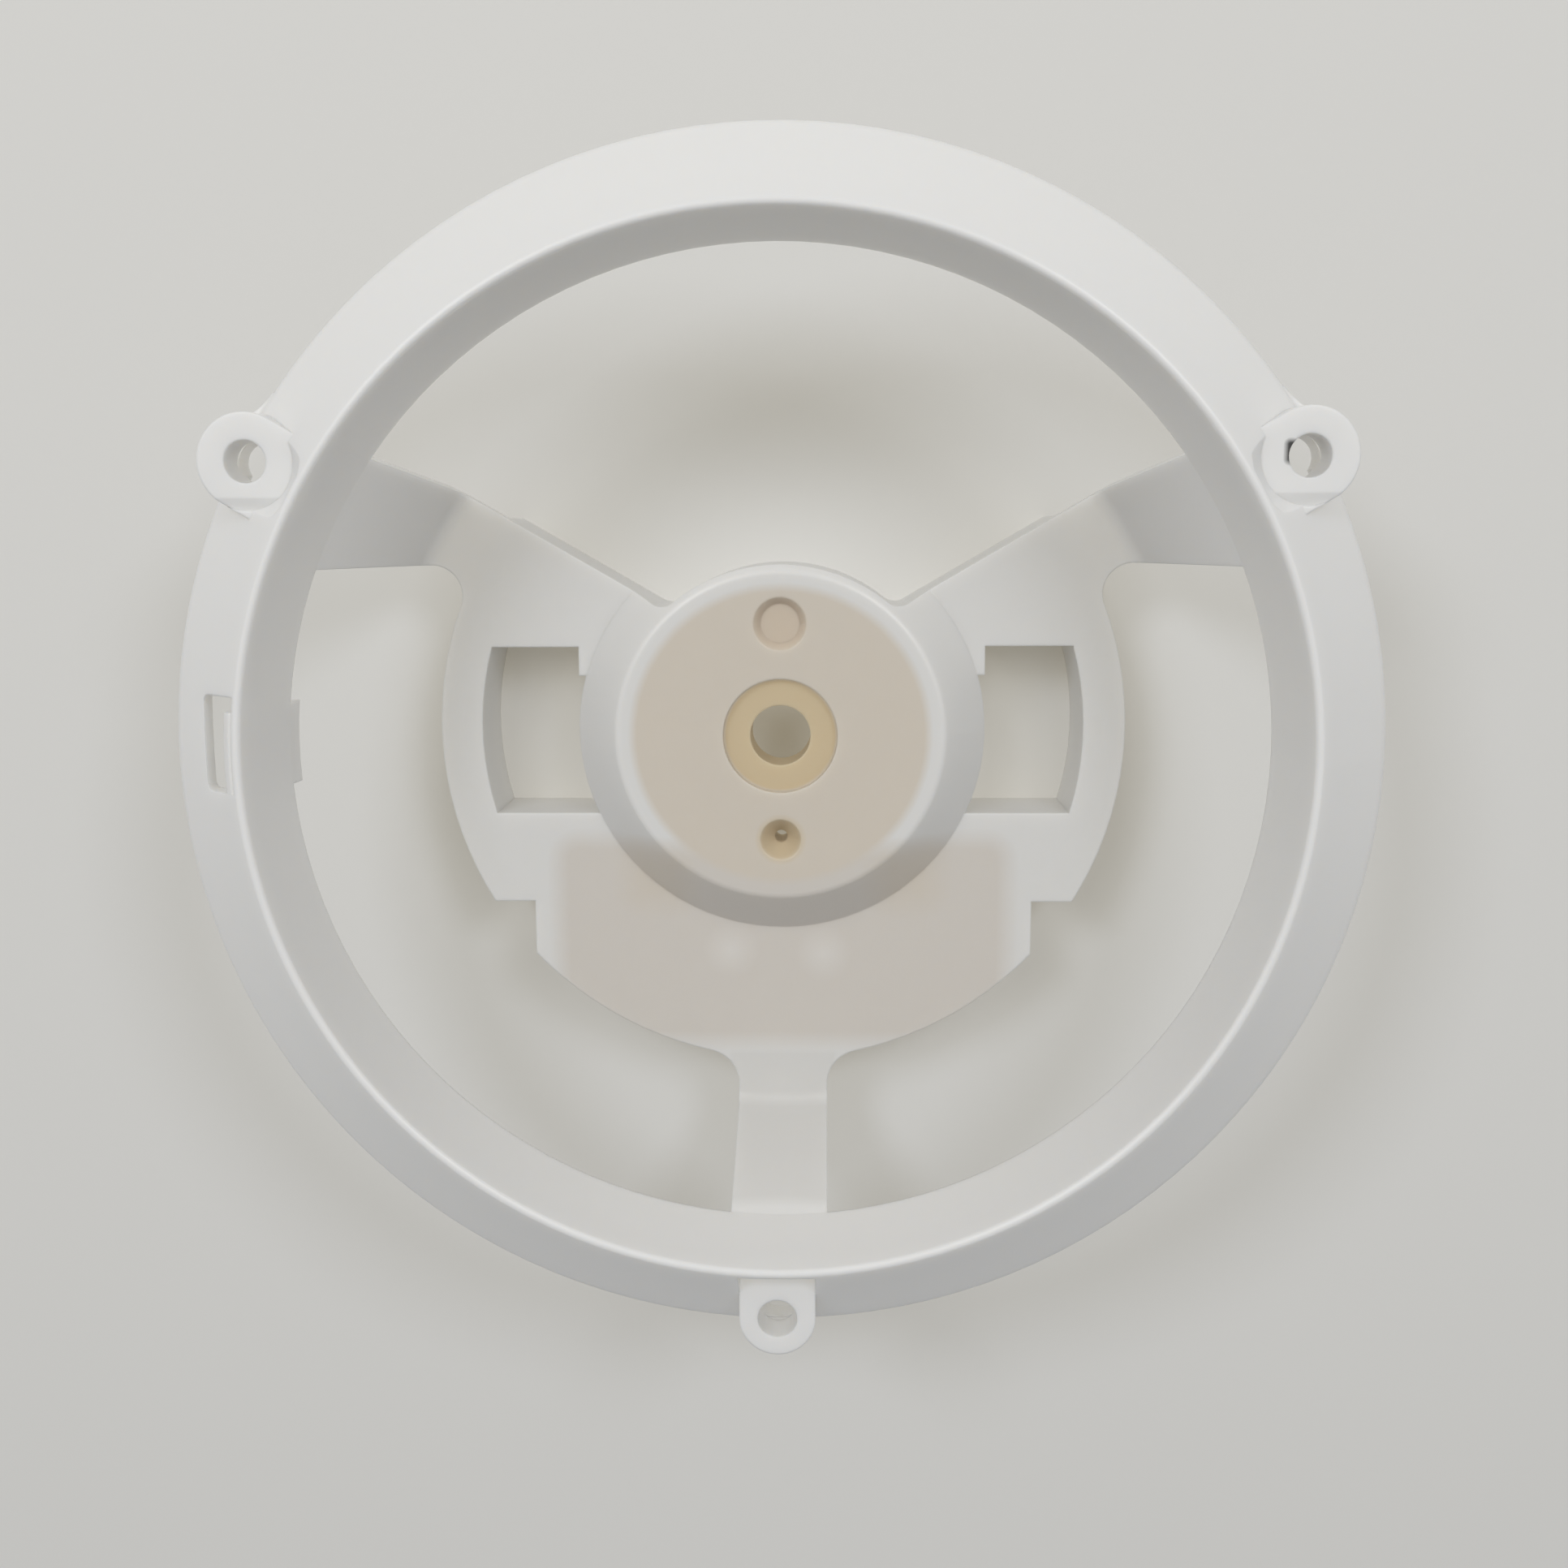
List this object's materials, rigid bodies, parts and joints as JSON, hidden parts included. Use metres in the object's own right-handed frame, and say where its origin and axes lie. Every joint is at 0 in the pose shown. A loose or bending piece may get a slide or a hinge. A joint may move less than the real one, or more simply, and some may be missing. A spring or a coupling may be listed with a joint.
{
  "type": "refrigerator fan shroud",
  "caption": "Moulded bell-mouth ring with screw ears in its sloping skirt and legs that carry a domed motor mount with a bored hub and a hollow back.",
  "frame": {"origin": "on the fan axis, at the front end of the shaft hole, where the shallow seat in the hub's face ends", "axes": "+Z along the fan axis, out of the ring's open front; -Y along the straight leg"},
  "size_m": [0.146, 0.1477, 0.045],
  "materials": {
    "milky_plastic": "milky translucent polypropylene with a soft gloss"
  },
  "bodies": {
    "root": {"fan_shroud": "milky_plastic"}
  },
  "joints": []
}
